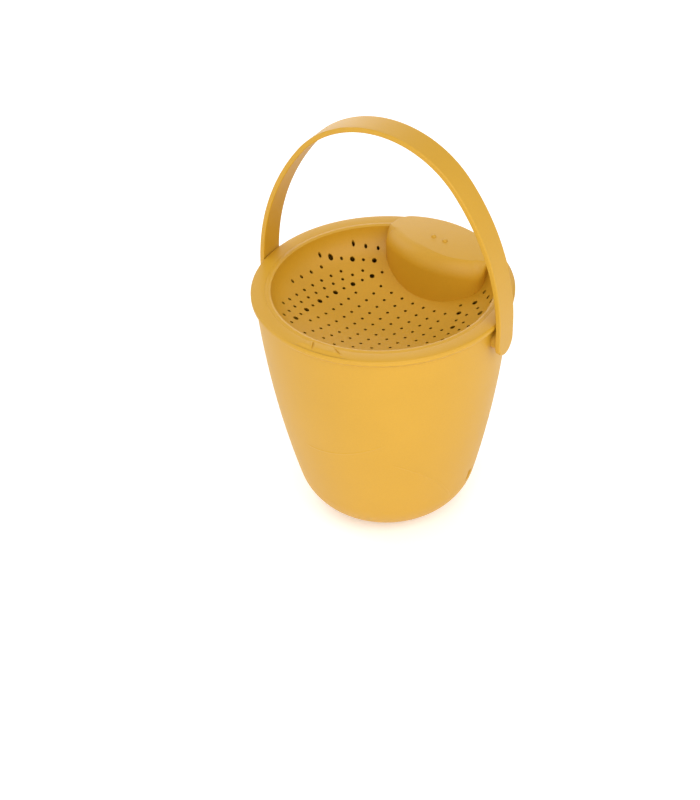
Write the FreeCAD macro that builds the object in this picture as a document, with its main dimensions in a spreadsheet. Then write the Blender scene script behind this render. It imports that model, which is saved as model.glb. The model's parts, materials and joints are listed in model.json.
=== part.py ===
"""Sand bucket with a drop-in sieve and a strap handle, all sizes in millimetres.

The frame stands on the ground at the middle of the bucket's base: +Z up, X along the handle's
pivot axis, and the flange's fluke relief at -Y.
"""
import FreeCAD, Part
import math
import os
import Sketcher

from FreeCAD import Placement, Rotation, Vector

PARTS_FOLDER = "parts"

DIMENSIONS = [
    # the bucket's shell
    ("rim_height", 190.0, "top of the flange above the ground"),
    ("flange_radius", 95.0, "outside of the flange"),
    ("flange_thickness", 4.0, "height of the flange's edge"),
    ("flange_flare", 2.5, "how far the flange's underside runs down to the wall"),
    ("flange_rounding", 2.0, "fillet on the flange's upper edge"),
    ("mouth_radius", 82.8, "clear opening that the sieve bowl drops through"),
    ("seat_radius", 84.6, "recess that takes the sieve's lip"),
    ("seat_depth", 2.3, "depth of that recess"),
    ("wall_thickness", 2.5, "wall and floor"),
    ("base_radius", 29.1, "flat disc that the bucket stands on"),
    ("corner_radius", 40.2, "round between the base and the wall"),
    ("wall_draft", 14.1, "lean of the wall, in degrees, where it leaves the round"),
    ("wall_bulge_radius", 847.0, "gentle outward curve of the wall"),
    # the handle's pivots
    ("pivot_height", 173.0, "pivot axis above the ground"),
    ("boss_radius", 7.0, "pivot boss on the wall"),
    ("boss_reach", 95.1, "outer face of the boss from the middle"),
    ("boss_root", 89.7, "inner end of the boss, within the wall"),
    ("pivot_hole_radius", 3.06, "hole through boss and wall"),
    # relief on the bucket
    ("relief_height", 0.8, "fluke above the flange"),
    ("fluke_bearing", 1.4, "turn of the fluke from -Y towards +X, in degrees"),
    ("fluke_stem", 6.8, "half width of the fluke at the mouth"),
    ("fluke_root", 82.9, "where the stem's sides start, from the middle"),
    ("fluke_span", 22.5, "half width of the fluke at its tips"),
    ("fluke_tip", 90.7, "inner corner of the tips, from the middle"),
    ("fluke_notch_radius", 26.7, "curve between the stem and a tip"),
    ("fluke_edge_radius", 92.7, "outer edge of the fluke, from the middle"),
    ("ridge_height", 0.3, "raised lines above the wall"),
    ("ridge_width", 1.6, "width of the raised lines"),
    ("ridge_root", 1.0, "how deep the raised lines are rooted in the wall"),
    ("ridge_limit", 130.0, "height that no raised line reaches"),
    ("belly_bearing", -90.0, "way that the belly line faces, in degrees from +X"),
    ("belly_from_x", -23.0, "its start, across that bearing"),
    ("belly_from_z", 89.1, "its start, above the ground"),
    ("belly_to_x", 43.8, "its end, across that bearing"),
    ("belly_to_z", 109.6, "its end, above the ground"),
    ("belly_bend", 138.0, "its curve, positive when it sags"),
    ("flank_bearing", -37.0, "way that the flank line faces, in degrees from +X"),
    ("flank_from_x", -28.5, "its start, across that bearing"),
    ("flank_from_z", 87.7, "its start, above the ground"),
    ("flank_to_x", 24.7, "its end, across that bearing"),
    ("flank_to_z", 28.2, "its end, above the ground"),
    ("flank_bend", -102.3, "its curve, positive when it sags"),
    ("dimple_height", 37.5, "side dimples above the ground"),
    ("dimple_bearing", 1.0, "side dimples, degrees towards +Y from the pivot axis"),
    ("dimple_width", 11.0, "across a side dimple"),
    ("dimple_depth", 1.4, "depth of a side dimple"),
    # the sieve
    ("sieve_turn", -9.0, "how far the sieve is turned in its seat, in degrees"),
    ("bowl_radius", 80.4, "inside of the bowl at its lip"),
    ("bowl_depth", 40.0, "lip's top to the lowest point inside"),
    ("bowl_floor_radius", 140.0, "curve of the bowl's floor"),
    ("bowl_floor_angle", 29.0, "degrees of that curve before the side round starts"),
    ("sieve_thickness", 2.0, "skin of the sieve"),
    ("lip_radius", 84.2, "outside of the lip"),
    ("lip_thickness", 2.0, "height of the lip"),
    ("lip_rounding", 0.8, "inner edge of the lip"),
    ("small_hole", 1.15, "radius of the small holes"),
    ("large_hole", 1.85, "radius of the large holes"),
    ("grid_column", 10.1, "between the columns of the grid of holes"),
    ("grid_row", 8.65, "between the rows of the grid of holes"),
    ("grid_top", 34.3, "row of the grid nearest the grip, from the middle"),
    ("grid_reach", 73.0, "farthest that a hole of the grid lies from the middle"),
    ("outer_column_top", 18.0, "the two outermost columns start below this"),
    ("outer_column_bottom", -37.0, "and end above this"),
    # the grip on the sieve
    ("grip_front", 41.5, "front of the grip from the middle"),
    ("grip_front_radius", 72.3, "curve of the grip's front"),
    ("grip_half_width", 45.0, "half width of the grip"),
    ("grip_back", 92.3, "back of the grip from the middle"),
    ("grip_corner", 12.0, "upright corners of the grip"),
    ("grip_height", 4.6, "crown of the grip above the flange"),
    ("grip_crown_radius", 420.0, "crown of the grip's top"),
    ("grip_crown_y", 67.0, "highest point of the grip from the middle"),
    ("grip_edge", 1.5, "fillet around the grip's top"),
    ("grip_skin", 2.2, "thickness of the grip's walls"),
    ("grip_gap", 0.3, "gap between the grip's underside and the flange"),
    ("hollow_back", 80.2, "back of the space inside the grip, from the middle"),
    ("hollow_corner", 4.0, "upright corners of that space"),
    ("bump_radius", 1.7, "blowhole bumps"),
    ("bump_spacing", 10.4, "between the two bumps"),
    ("bump_sink", 0.6, "how far a bump's centre lies under the grip's top"),
    # the handle
    ("handle_lean", 2.2, "degrees towards +Y as the handle stands"),
    ("strap_thickness", 3.8, "thickness of the strap"),
    ("strap_width", 21.0, "width of the strap"),
    ("strap_half_span", 97.5, "middle of the strap to the middle of the bucket"),
    ("strap_spring_height", 182.0, "where the straight legs end"),
    ("strap_top_height", 313.3, "middle of the strap at the top"),
    ("strap_top_radius", 79.0, "curve of the middle of the strap at the top"),
    ("strap_edge", 0.8, "fillet along the strap's edges"),
    ("stud_radius", 3.0, "pivot stud"),
    ("stud_head_radius", 4.0, "snap head inside the wall"),
    ("stud_head_outer", 88.0, "outer face of the snap head from the middle"),
    ("stud_tip", 86.2, "tip of the stud from the middle"),
    ("stud_tip_radius", 2.6, "tip of the snap head"),
]

doc = FreeCAD.newDocument("sand_bucket")
sheet = doc.addObject("Spreadsheet::Sheet", "dims")


def fill_sheet():
    """One row per driving dimension: name, value and what it is."""
    for row, (name, value, meaning) in enumerate(DIMENSIONS, start=1):
        sheet.set(f"A{row}", name)
        sheet.set(f"B{row}", str(value))
        sheet.set(f"C{row}", meaning)
        sheet.setAlias(f"B{row}", name)
    doc.recompute()


def worth(expression):
    """The number that an expression over the sheet comes to."""
    return float(sheet.evalExpression(expression))


def bind(thing, **expressions):
    """Tie properties of an object to expressions over the sheet."""
    for name, expression in expressions.items():
        thing.setExpression(name, expression)


# ---------------------------------------------------------------- outlines

def arc_between(start, end, bend):
    """Arc from start to end of radius |bend|, to the left when bend is positive.

    Returns it with the sketch positions (1 start, 2 end) of those two points.
    """
    chord = end - start
    middle = (start + end) * 0.5
    left = Vector(-chord.y, chord.x, 0).normalize()
    rise = math.sqrt(bend ** 2 - (chord.Length / 2) ** 2)
    centre = middle + left * math.copysign(rise, bend)
    first, last = (start, end) if bend > 0 else (end, start)
    from_angle = math.atan2(first.y - centre.y, first.x - centre.x)
    to_angle = math.atan2(last.y - centre.y, last.x - centre.x)
    if to_angle < from_angle:
        to_angle += 2 * math.pi
    circle = Part.Circle(centre, Vector(0, 0, 1), abs(bend))
    positions = (1, 2) if bend > 0 else (2, 1)
    return Part.ArcOfCircle(circle, from_angle, to_angle), positions


def pin_point(sketch, side, position, across, up):
    """Hold one end of a side at its across and up expressions."""
    for kind, axis, expression in (("DistanceX", -2, across), ("DistanceY", -1, up)):
        if worth(expression) == 0:
            sketch.addConstraint(Sketcher.Constraint("PointOnObject", side, position, axis))
            continue
        number = sketch.addConstraint(
            Sketcher.Constraint(kind, -1, 1, side, position, worth(expression)))
        sketch.setExpression(f"Constraints[{number}]", expression)


def draw_outline(sketch, corners, bends):
    """Closed outline through corners, pairs of expressions.

    bends maps the number of a side to the expression of its radius, positive to the left.
    """
    points = [Vector(worth(across), worth(up), 0) for across, up in corners]
    ends = []
    for number, start in enumerate(points):
        end = points[(number + 1) % len(points)]
        if number in bends:
            side, positions = arc_between(start, end, worth(bends[number]))
        else:
            side, positions = Part.LineSegment(start, end), (1, 2)
        ends.append((sketch.addGeometry(side, False), *positions))
    for number, (side, head, tail) in enumerate(ends):
        following, following_head, _ = ends[(number + 1) % len(ends)]
        sketch.addConstraint(Sketcher.Constraint("Coincident", side, tail, following, following_head))
        pin_point(sketch, side, head, *corners[number])
    for number, expression in bends.items():
        side = ends[number][0]
        constraint = sketch.addConstraint(
            Sketcher.Constraint("Radius", side, abs(worth(expression))))
        sketch.setExpression(f"Constraints[{constraint}]", f"abs({expression})")


def body_sketch(body, plane_role, name):
    """Sketch on one of a body's own origin planes."""
    sketch = body.newObject("Sketcher::SketchObject", name)
    plane = next(item for item in body.Origin.OriginFeatures if item.Role == plane_role)
    sketch.AttachmentSupport = (plane, [""])
    sketch.MapMode = "FlatFace"
    return sketch


def turned_body(name, corners, bends):
    """Body of revolution about Z from an outline of radii and heights."""
    body = doc.addObject("PartDesign::Body", name)
    sketch = body_sketch(body, "XZ_Plane", f"{name}_outline")
    draw_outline(sketch, corners, bends)
    turn = body.newObject("PartDesign::Revolution", f"{name}_turn")
    turn.Profile = (sketch, [""])
    turn.ReferenceAxis = (sketch, ["V_Axis"])
    turn.Angle = 360
    doc.recompute()
    return body


# ---------------------------------------------------------------- solids

def cylinder(name, radius, low, high, axis=Vector(0, 0, 1), across="0", along="0", height="0"):
    """Cylinder between two expressions along an axis, through the point (across, along, height)."""
    piece = doc.addObject("Part::Cylinder", name)
    piece.Placement = Placement(Vector(), Rotation(Vector(0, 0, 1), axis))
    bind(piece, Radius=radius, Height=f"{high} - ({low})")
    for letter, part_of_axis, offset in zip("xyz", axis, (across, along, height)):
        piece.setExpression(f"Placement.Base.{letter}", f"{offset} + {part_of_axis} * ({low})")
    return piece


def block(name, low_corner, high_corner):
    """Box between two corners, each three expressions."""
    piece = doc.addObject("Part::Box", name)
    for size, letter, low, high in zip(("Length", "Width", "Height"), "xyz", low_corner, high_corner):
        piece.setExpression(size, f"{high} - ({low})")
        piece.setExpression(f"Placement.Base.{letter}", low)
    return piece


def ball(name, radius, across, along, height):
    """Sphere about a point given as expressions."""
    piece = doc.addObject("Part::Sphere", name)
    bind(piece, Radius=radius)
    for letter, offset in zip("xyz", (across, along, height)):
        piece.setExpression(f"Placement.Base.{letter}", offset)
    return piece


def joined(name, pieces):
    """Union of several solids."""
    union = doc.addObject("Part::MultiFuse", name)
    union.Shapes = pieces
    union.Refine = True
    return union


def shared(name, pieces):
    """What several solids have in common."""
    common = doc.addObject("Part::MultiCommon", name)
    common.Shapes = pieces
    return common


def cut(name, base, tool):
    """Base without the tool."""
    difference = doc.addObject("Part::Cut", name)
    difference.Base = base
    difference.Tool = tool
    return difference


def grouped(name, pieces):
    """Several separate tools as one."""
    group = doc.addObject("Part::Compound", name)
    group.Links = pieces
    return group


def rounded(name, base, radius, wanted):
    """Fillet on every edge of the base for which wanted(edge) is true."""
    doc.recompute()
    size = worth(radius)
    chosen = [n for n, edge in enumerate(base.Shape.Edges, start=1) if wanted(edge)]
    fillet = doc.addObject("Part::Fillet", name)
    fillet.Base = base
    fillet.Edges = [(n, size, size) for n in chosen]
    doc.recompute()
    return fillet


# ---------------------------------------------------------------- the bucket

OUTSIDE = "(dims.flange_radius + 5)"
JOIN_R = "(dims.base_radius + dims.corner_radius * cos(dims.wall_draft))"
JOIN_Z = "(dims.corner_radius * (1 - sin(dims.wall_draft)))"
BULGE_R = f"({JOIN_R} - dims.wall_bulge_radius * cos(dims.wall_draft))"
BULGE_Z = f"({JOIN_Z} + dims.wall_bulge_radius * sin(dims.wall_draft))"
UNDERSIDE = "(dims.rim_height - dims.flange_thickness)"
FLARE_FOOT = f"({UNDERSIDE} - dims.flange_flare)"
SEAT_FLOOR = "(dims.rim_height - dims.seat_depth)"


def wall_radius(inset, height):
    """Radius of the wall's bulge at a height, inset from its outside."""
    return f"({BULGE_R} + sqrt((dims.wall_bulge_radius - {inset})^2 - ({height} - {BULGE_Z})^2))"


def join_point(inset):
    """Where the base's round meets the wall, inset from the outside."""
    across = f"({JOIN_R} - {inset} * cos(dims.wall_draft))"
    up = f"({JOIN_Z} + {inset} * sin(dims.wall_draft))"
    return across, up


def bucket_shell():
    """Floor, round, wall and flange in one turned piece, with its upper edge rounded."""
    corners = [
        ("0", "0"),
        ("dims.base_radius", "0"),
        join_point("0"),
        (wall_radius("0", FLARE_FOOT), FLARE_FOOT),
        ("dims.flange_radius", UNDERSIDE),
        ("dims.flange_radius", "dims.rim_height"),
        ("dims.seat_radius", "dims.rim_height"),
        ("dims.seat_radius", SEAT_FLOOR),
        ("dims.mouth_radius", SEAT_FLOOR),
        ("dims.mouth_radius", UNDERSIDE),
        (wall_radius("dims.wall_thickness", UNDERSIDE), UNDERSIDE),
        join_point("dims.wall_thickness"),
        ("dims.base_radius", "dims.wall_thickness"),
        ("0", "dims.wall_thickness"),
    ]
    bends = {
        1: "dims.corner_radius",
        2: "dims.wall_bulge_radius",
        10: "-(dims.wall_bulge_radius - dims.wall_thickness)",
        11: "-(dims.corner_radius - dims.wall_thickness)",
    }
    body = turned_body("bucket_shell", corners, bends)
    turn = body.Tip
    fillet = body.newObject("PartDesign::Fillet", "flange_rounding")
    edges = [
        f"Edge{n}" for n, edge in enumerate(turn.Shape.Edges, start=1)
        if abs(edge.BoundBox.ZMin - worth("dims.rim_height")) < 1e-6
        and abs(edge.BoundBox.XMax - worth("dims.flange_radius")) < 1e-3
    ]
    fillet.Base = (turn, edges)
    bind(fillet, Radius="dims.flange_rounding")
    doc.recompute()
    return body


def pivot_bosses():
    """Round bosses on the wall under the flange, one at each end of the pivot axis."""
    return [
        cylinder(f"boss_{side}", "dims.boss_radius", "dims.boss_root", "dims.boss_reach",
                 axis=Vector(direction, 0, 0), height="dims.pivot_height")
        for side, direction in (("right", 1), ("left", -1))
    ]


def pivot_hole():
    """One drill along the pivot axis, through both bosses."""
    return cylinder("pivot_hole", "dims.pivot_hole_radius", f"-{OUTSIDE}", OUTSIDE,
                    axis=Vector(1, 0, 0), height="dims.pivot_height")


def fluke_half(direction):
    """Half of the fluke as an upright prism: stem, hollow beside it, and tip."""
    side = "right" if direction > 0 else "left"
    body = doc.addObject("PartDesign::Body", f"fluke_{side}")
    sketch = body_sketch(body, "XY_Plane", f"fluke_{side}_outline")
    corners = [
        ("0", f"-{OUTSIDE}"),
        (f"{direction} * dims.fluke_span", f"-{OUTSIDE}"),
        (f"{direction} * dims.fluke_span", "-dims.fluke_tip"),
        (f"{direction} * dims.fluke_stem", "-dims.fluke_root"),
        ("0", "-dims.fluke_root"),
    ]
    draw_outline(sketch, corners, {2: f"{-direction} * dims.fluke_notch_radius"})
    pad = body.newObject("PartDesign::Pad", f"fluke_{side}_pad")
    pad.Profile = (sketch, [""])
    bind(pad, Length="dims.relief_height + 1")
    turn = Rotation(Vector(0, 0, 1), worth("dims.fluke_bearing"))
    body.Placement = Placement(Vector(0, 0, worth("dims.rim_height - 1")), turn)
    doc.recompute()
    return body


def fluke():
    """Low fluke on the front of the flange, kept on the flat of the flange."""
    band = cut(
        "fluke_band",
        cylinder("fluke_edge", "dims.fluke_edge_radius", "dims.rim_height - 1",
                 "dims.rim_height + dims.relief_height"),
        cylinder("fluke_seat_clearance", "dims.seat_radius", "dims.rim_height - 2",
                 "dims.rim_height + 2"))
    halves = joined("fluke_halves", [fluke_half(1), fluke_half(-1)])
    return shared("fluke", [halves, band])


def ridge_skin(name):
    """Thin skin about the wall's bulge that trims a raised line to its height."""
    root = "dims.ridge_root"
    over = "(-dims.ridge_height)"
    top = "dims.ridge_limit"
    corners = [
        join_point(over),
        (wall_radius(over, top), top),
        (wall_radius(root, top), top),
        join_point(root),
    ]
    bends = {
        0: f"(dims.wall_bulge_radius - {over})",
        2: f"-(dims.wall_bulge_radius - {root})",
    }
    return turned_body(f"{name}_skin", corners, bends)


def ridge_band(name):
    """Arc band of a raised line in an upright plane, pushed out along its bearing."""
    body = doc.addObject("PartDesign::Body", f"{name}_band")
    sketch = body_sketch(body, "XZ_Plane", f"{name}_outline")
    half = "dims.ridge_width / 2"
    corners = [
        (f"dims.{name}_{end}_x", f"dims.{name}_{end}_z {sign} {half}")
        for end, sign in (("from", "-"), ("to", "-"), ("to", "+"), ("from", "+"))
    ]
    draw_outline(sketch, corners, {0: f"dims.{name}_bend", 2: f"-dims.{name}_bend"})
    pad = body.newObject("PartDesign::Pad", f"{name}_pad")
    pad.Profile = (sketch, [""])
    bind(pad, Length="dims.flange_radius")
    facing = worth(f"dims.{name}_bearing + 90")
    body.Placement = Placement(Vector(), Rotation(Vector(0, 0, 1), facing))
    doc.recompute()
    return body


def ridge(name):
    """Raised line on the wall."""
    return shared(f"{name}_line", [ridge_skin(name), ridge_band(name)])


def dimples():
    """Shallow round dimples low on the wall, one under each pivot."""
    height = "dims.dimple_height"
    width, depth = "dims.dimple_width", "dims.dimple_depth"
    size = f"(({width} / 2)^2 + {depth}^2) / (2 * {depth})"
    lean = f"asin(({height} - {BULGE_Z}) / dims.wall_bulge_radius)"
    stand = f"(dims.wall_bulge_radius + {size} - {depth})"
    out = f"({BULGE_R} + {stand} * cos({lean}))"
    up = f"({BULGE_Z} + {stand} * sin({lean}))"
    tools = []
    for side, direction in (("right", 1), ("left", -1)):
        across = f"{direction} * {out} * cos(dims.dimple_bearing)"
        along = f"{out} * sin(dims.dimple_bearing)"
        tools.append(ball(f"dimple_{side}", size, across, along, up))
    return tools


def bucket_body():
    """The bucket: shell, bosses, fluke and raised lines, less the pivot holes and dimples."""
    solid = joined("bucket_solid", [
        bucket_shell(), *pivot_bosses(), fluke(), ridge("belly"), ridge("flank")])
    tools = grouped("bucket_tools", [pivot_hole(), *dimples()])
    return cut("bucket_body", solid, tools)


# ---------------------------------------------------------------- the sieve

LIP_TOP = "dims.rim_height"
BOWL_SIDE = ("((dims.bowl_radius - dims.bowl_floor_radius * sin(dims.bowl_floor_angle))"
             " / (1 - sin(dims.bowl_floor_angle)))")
FLOOR_CENTRE_Z = "(dims.rim_height - dims.bowl_depth + dims.bowl_floor_radius)"
SIDE_CENTRE_Z = (f"({FLOOR_CENTRE_Z} - (dims.bowl_floor_radius - {BOWL_SIDE})"
                 " * cos(dims.bowl_floor_angle))")


def bowl_points(offset):
    """Bottom, join and top of the bowl's curve, offset outwards from its inside."""
    bottom = ("0", f"({FLOOR_CENTRE_Z} - dims.bowl_floor_radius - {offset})")
    join = (f"((dims.bowl_floor_radius + {offset}) * sin(dims.bowl_floor_angle))",
            f"({FLOOR_CENTRE_Z} - (dims.bowl_floor_radius + {offset}) * cos(dims.bowl_floor_angle))")
    top = (f"(dims.bowl_radius + {offset})", SIDE_CENTRE_Z)
    return bottom, join, top


def sieve_bowl():
    """Bowl with its lip, in one turned piece."""
    skin = "dims.sieve_thickness"
    bottom, join, top = bowl_points("0")
    under_bottom, under_join, under_top = bowl_points(skin)
    lip_bottom = f"({LIP_TOP} - dims.lip_thickness)"
    corners = [
        under_bottom, under_join,
        (under_top[0], lip_bottom),
        ("dims.lip_radius", lip_bottom), ("dims.lip_radius", LIP_TOP),
        ("(dims.bowl_radius + dims.lip_rounding)", LIP_TOP),
        (top[0], f"({LIP_TOP} - dims.lip_rounding)"),
        top, join, bottom,
    ]
    bends = {
        0: f"(dims.bowl_floor_radius + {skin})",
        1: f"({BOWL_SIDE} + {skin})",
        5: "dims.lip_rounding",
        7: f"-({BOWL_SIDE})",
        8: "-dims.bowl_floor_radius",
    }
    return turned_body("sieve_bowl", corners, bends)


def bowl_fill():
    """Everything inside the bowl's outer surface, up to above the grip."""
    bottom, join, top = bowl_points("dims.sieve_thickness")
    lip_bottom = f"({LIP_TOP} - dims.lip_thickness)"
    ceiling = f"({LIP_TOP} + 10)"
    corners = [bottom, join, (top[0], lip_bottom), (top[0], ceiling), ("0", ceiling)]
    bends = {
        0: "(dims.bowl_floor_radius + dims.sieve_thickness)",
        1: f"({BOWL_SIDE} + dims.sieve_thickness)",
    }
    return turned_body("bowl_fill", corners, bends)


def grip_block(name, inset, back, corner, foot):
    """D-shaped block: curved front, flat sides, back on the flange's circle, crowned top."""
    top = f"(dims.rim_height + dims.grip_height - {inset})"
    ceiling = f"({top} + 1)"
    front = cylinder(f"{name}_front", f"dims.grip_front_radius - {inset}", foot, ceiling,
                     along="(dims.grip_front + dims.grip_front_radius)")
    rear = cylinder(f"{name}_rear", back, foot, ceiling)
    half = f"(dims.grip_half_width - {inset})"
    sides = block(f"{name}_sides", (f"-{half}", "0", foot), (half, "200", ceiling))
    plan = shared(f"{name}_plan", [front, rear, sides])
    upright = rounded(
        f"{name}_corners", plan, corner,
        lambda edge: abs(edge.tangentAt(edge.FirstParameter).z) > 0.99)
    crown = ball(f"{name}_crown", f"dims.grip_crown_radius - {inset}", "0", "dims.grip_crown_y",
                 "(dims.rim_height + dims.grip_height - dims.grip_crown_radius)")
    return shared(name, [upright, crown])


def grip():
    """The raised grip, from the bowl's underside up over the flange, its top edge rounded."""
    foot = "(dims.rim_height - dims.bowl_depth - 10)"
    outside = grip_block("grip_outside", "0", "dims.grip_back", "dims.grip_corner", foot)
    softened = rounded(
        "grip_soft", outside, "dims.grip_edge",
        lambda edge: edge.BoundBox.ZMin > worth("dims.rim_height"))
    ceiling = "(dims.rim_height + 10)"
    over_lip = cylinder("over_lip", "dims.lip_radius", "dims.rim_height - 1", ceiling)
    over_flange = cylinder("over_flange", OUTSIDE, "dims.rim_height + dims.grip_gap", ceiling)
    room = joined("grip_room", [bowl_fill(), over_lip, over_flange])
    return shared("grip", [softened, room])


def grip_hollow():
    """The space inside the grip, open downwards."""
    foot = "(dims.rim_height - dims.bowl_depth - 20)"
    return grip_block("grip_hollow", "dims.grip_skin", "dims.hollow_back", "dims.hollow_corner", foot)


def bumps():
    """Two blowhole bumps on top of the grip."""
    return [
        ball(f"bump_{side}", "dims.bump_radius", f"{direction} * dims.bump_spacing / 2",
             "dims.grip_crown_y", "dims.rim_height + dims.grip_height - dims.bump_sink")
        for side, direction in (("right", 1), ("left", -1))
    ]


# ------------------------------------------------------------ the sieve's holes

# rows that curve around the grid: centre, radius, first hole's y, spacing, number of holes, and
# which of them are large: 0 for the first and every second one after it, 1 for the others
CURVED_ROWS = [
    ((57.0, -10.0), 108.5, 44.2, 8.3, 14, 1),
    ((57.0, -10.0), 115.3, 35.6, 8.9, 12, None),
    ((57.0, -10.0), 121.3, 23.0, 9.3, 8, None),
    ((57.0, -10.0), 129.6, 13.2, 10.2, 4, None),
    ((17.0, -39.7), 108.5, 47.7, 8.3, 6, 0),
    ((17.0, -39.7), 116.5, 55.7, 9.4, 3, None),
]
COLUMNS_EACH_SIDE = 4
GRID_ROWS = 14


def grid_holes():
    """Straight grid of small holes in front of the grip."""
    spots = []
    for column in range(-COLUMNS_EACH_SIDE, COLUMNS_EACH_SIDE + 1):
        across = column * worth("dims.grid_column")
        for row in range(GRID_ROWS):
            along = worth(f"dims.grid_top - {row} * dims.grid_row")
            outermost = abs(column) == COLUMNS_EACH_SIDE
            inside = worth("dims.outer_column_bottom") < along < worth("dims.outer_column_top")
            if math.hypot(across, along) < worth("dims.grid_reach") and (inside or not outermost):
                spots.append((across, along, False))
    return spots


def curved_holes():
    """Curved rows on both flanks, mirrored about the sieve's middle."""
    spots = []
    for (centre_x, centre_y), radius, first_y, spacing, count, large_ones in CURVED_ROWS:
        start = math.asin((first_y - centre_y) / radius)
        for number in range(count):
            angle = start - number * spacing / radius
            across = centre_x - radius * math.cos(angle)
            along = centre_y + radius * math.sin(angle)
            for side in (1, -1):
                spots.append((side * across, along, number % 2 == large_ones))
    return spots


def sieve_holes():
    """All the holes as upright drills."""
    low = "dims.rim_height - dims.bowl_depth - 10"
    drills = []
    for number, (across, along, large) in enumerate(grid_holes() + curved_holes()):
        size = "dims.large_hole" if large else "dims.small_hole"
        drills.append(cylinder(f"hole_{number}", size, low, "dims.rim_height - dims.lip_thickness - 1",
                               across=f"{across:.2f}", along=f"{along:.2f}"))
    return grouped("sieve_holes", drills)


def sieve():
    """Bowl and grip, hollowed and drilled, turned in its seat."""
    solid = joined("sieve_solid", [sieve_bowl(), grip()])
    hollowed = cut("sieve_hollowed", solid, grip_hollow())
    crowned = joined("sieve_crowned", [hollowed, *bumps()])
    drilled = cut("sieve", crowned, sieve_holes())
    drilled.Placement = Placement(Vector(), Rotation(Vector(0, 0, 1), worth("dims.sieve_turn")))
    return drilled


# ---------------------------------------------------------------- the handle

RISE = "(dims.strap_top_height - dims.strap_spring_height)"
SHOULDER = (f"((dims.strap_half_span^2 + ({RISE} - dims.strap_top_radius)^2 - dims.strap_top_radius^2)"
            " / (2 * (dims.strap_half_span - dims.strap_top_radius)))")
TOP_CENTRE_Z = "(dims.strap_top_height - dims.strap_top_radius)"
SHOULDER_CENTRE_X = f"(dims.strap_half_span - {SHOULDER})"
TURN = f"atan(({TOP_CENTRE_Z} - dims.strap_spring_height) / (0 - {SHOULDER_CENTRE_X}))"


def strap_points(offset):
    """Top, shoulder join and springing of one side, offset from the strap's middle."""
    top = ("0", f"(dims.strap_top_height + {offset})")
    join = (f"((dims.strap_top_radius + {offset}) * cos({TURN}))",
            f"({TOP_CENTRE_Z} + (dims.strap_top_radius + {offset}) * sin({TURN}))")
    spring = (f"(dims.strap_half_span + {offset})", "dims.strap_spring_height")
    return top, join, spring


def strap():
    """Arched strap: half of it padded across its width, then mirrored."""
    body = doc.addObject("PartDesign::Body", "strap")
    sketch = body_sketch(body, "XZ_Plane", "strap_outline")
    half = "dims.strap_thickness / 2"
    top, join, spring = strap_points(half)
    under_top, under_join, under_spring = strap_points(f"(-{half})")
    corners = [
        top, under_top, under_join, under_spring,
        (under_spring[0], "dims.pivot_height"), (spring[0], "dims.pivot_height"),
        spring, join,
    ]
    bends = {
        1: f"-(dims.strap_top_radius - {half})",
        2: f"-({SHOULDER} - {half})",
        6: f"({SHOULDER} + {half})",
        7: f"(dims.strap_top_radius + {half})",
    }
    draw_outline(sketch, corners, bends)
    pad = body.newObject("PartDesign::Pad", "strap_half")
    pad.Profile = (sketch, [""])
    pad.Midplane = True
    bind(pad, Length="dims.strap_width")
    mirror = body.newObject("PartDesign::Mirrored", "strap_mirror")
    mirror.Originals = [pad]
    mirror.MirrorPlane = (sketch, ["V_Axis"])
    body.Tip = mirror
    doc.recompute()
    return body


def strap_ends():
    """Round ends of the strap about the pivot axis."""
    half = "dims.strap_thickness / 2"
    return [
        cylinder(f"end_{side}", "dims.strap_width / 2",
                 f"(dims.strap_half_span - {half})", f"(dims.strap_half_span + {half})",
                 axis=Vector(direction, 0, 0), height="dims.pivot_height")
        for side, direction in (("right", 1), ("left", -1))
    ]


def studs():
    """Pivot studs with snap heads, pointing inwards from the strap's ends."""
    pieces = []
    for side, direction in (("right", 1), ("left", -1)):
        axis = Vector(direction, 0, 0)
        pieces.append(cylinder(f"stud_{side}", "dims.stud_radius", "dims.stud_tip",
                               "dims.strap_half_span", axis=axis, height="dims.pivot_height"))
        head = doc.addObject("Part::Cone", f"stud_head_{side}")
        head.Placement = Placement(Vector(), Rotation(Vector(0, 0, 1), axis))
        bind(head, Radius1="dims.stud_tip_radius", Radius2="dims.stud_head_radius",
             Height="dims.stud_head_outer - dims.stud_tip")
        head.setExpression("Placement.Base.x", f"{direction} * dims.stud_tip")
        head.setExpression("Placement.Base.z", "dims.pivot_height")
        pieces.append(head)
    return pieces


def handle():
    """Strap, round ends and studs, edges softened, leaning as it stands."""
    plain = joined("strap_plain", [strap(), *strap_ends()])
    half_width = worth("dims.strap_width") / 2
    doc.recompute()

    def is_rim(edge):
        box = edge.BoundBox
        flat = box.YLength < 1e-6 and abs(abs(box.YMin) - half_width) < 1e-6
        end = box.XLength < 1e-6 and box.ZMin < worth("dims.pivot_height") - half_width + 1e-3
        return flat or end

    soft = rounded("strap_soft", plain, "dims.strap_edge", is_rim)
    whole = joined("handle", [soft, *studs()])
    pivot = Vector(0, 0, worth("dims.pivot_height"))
    whole.Placement = Placement(Vector(), Rotation(Vector(1, 0, 0), -worth("dims.handle_lean")), pivot)
    return whole


# ---------------------------------------------------------------- check and write

def check_document():
    """Stop on any failed feature."""
    doc.recompute()
    failed = [item.Name for item in doc.Objects if {"Invalid", "Error"} & set(item.State)]
    if failed:
        raise RuntimeError(f"failed features: {failed}")


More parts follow.
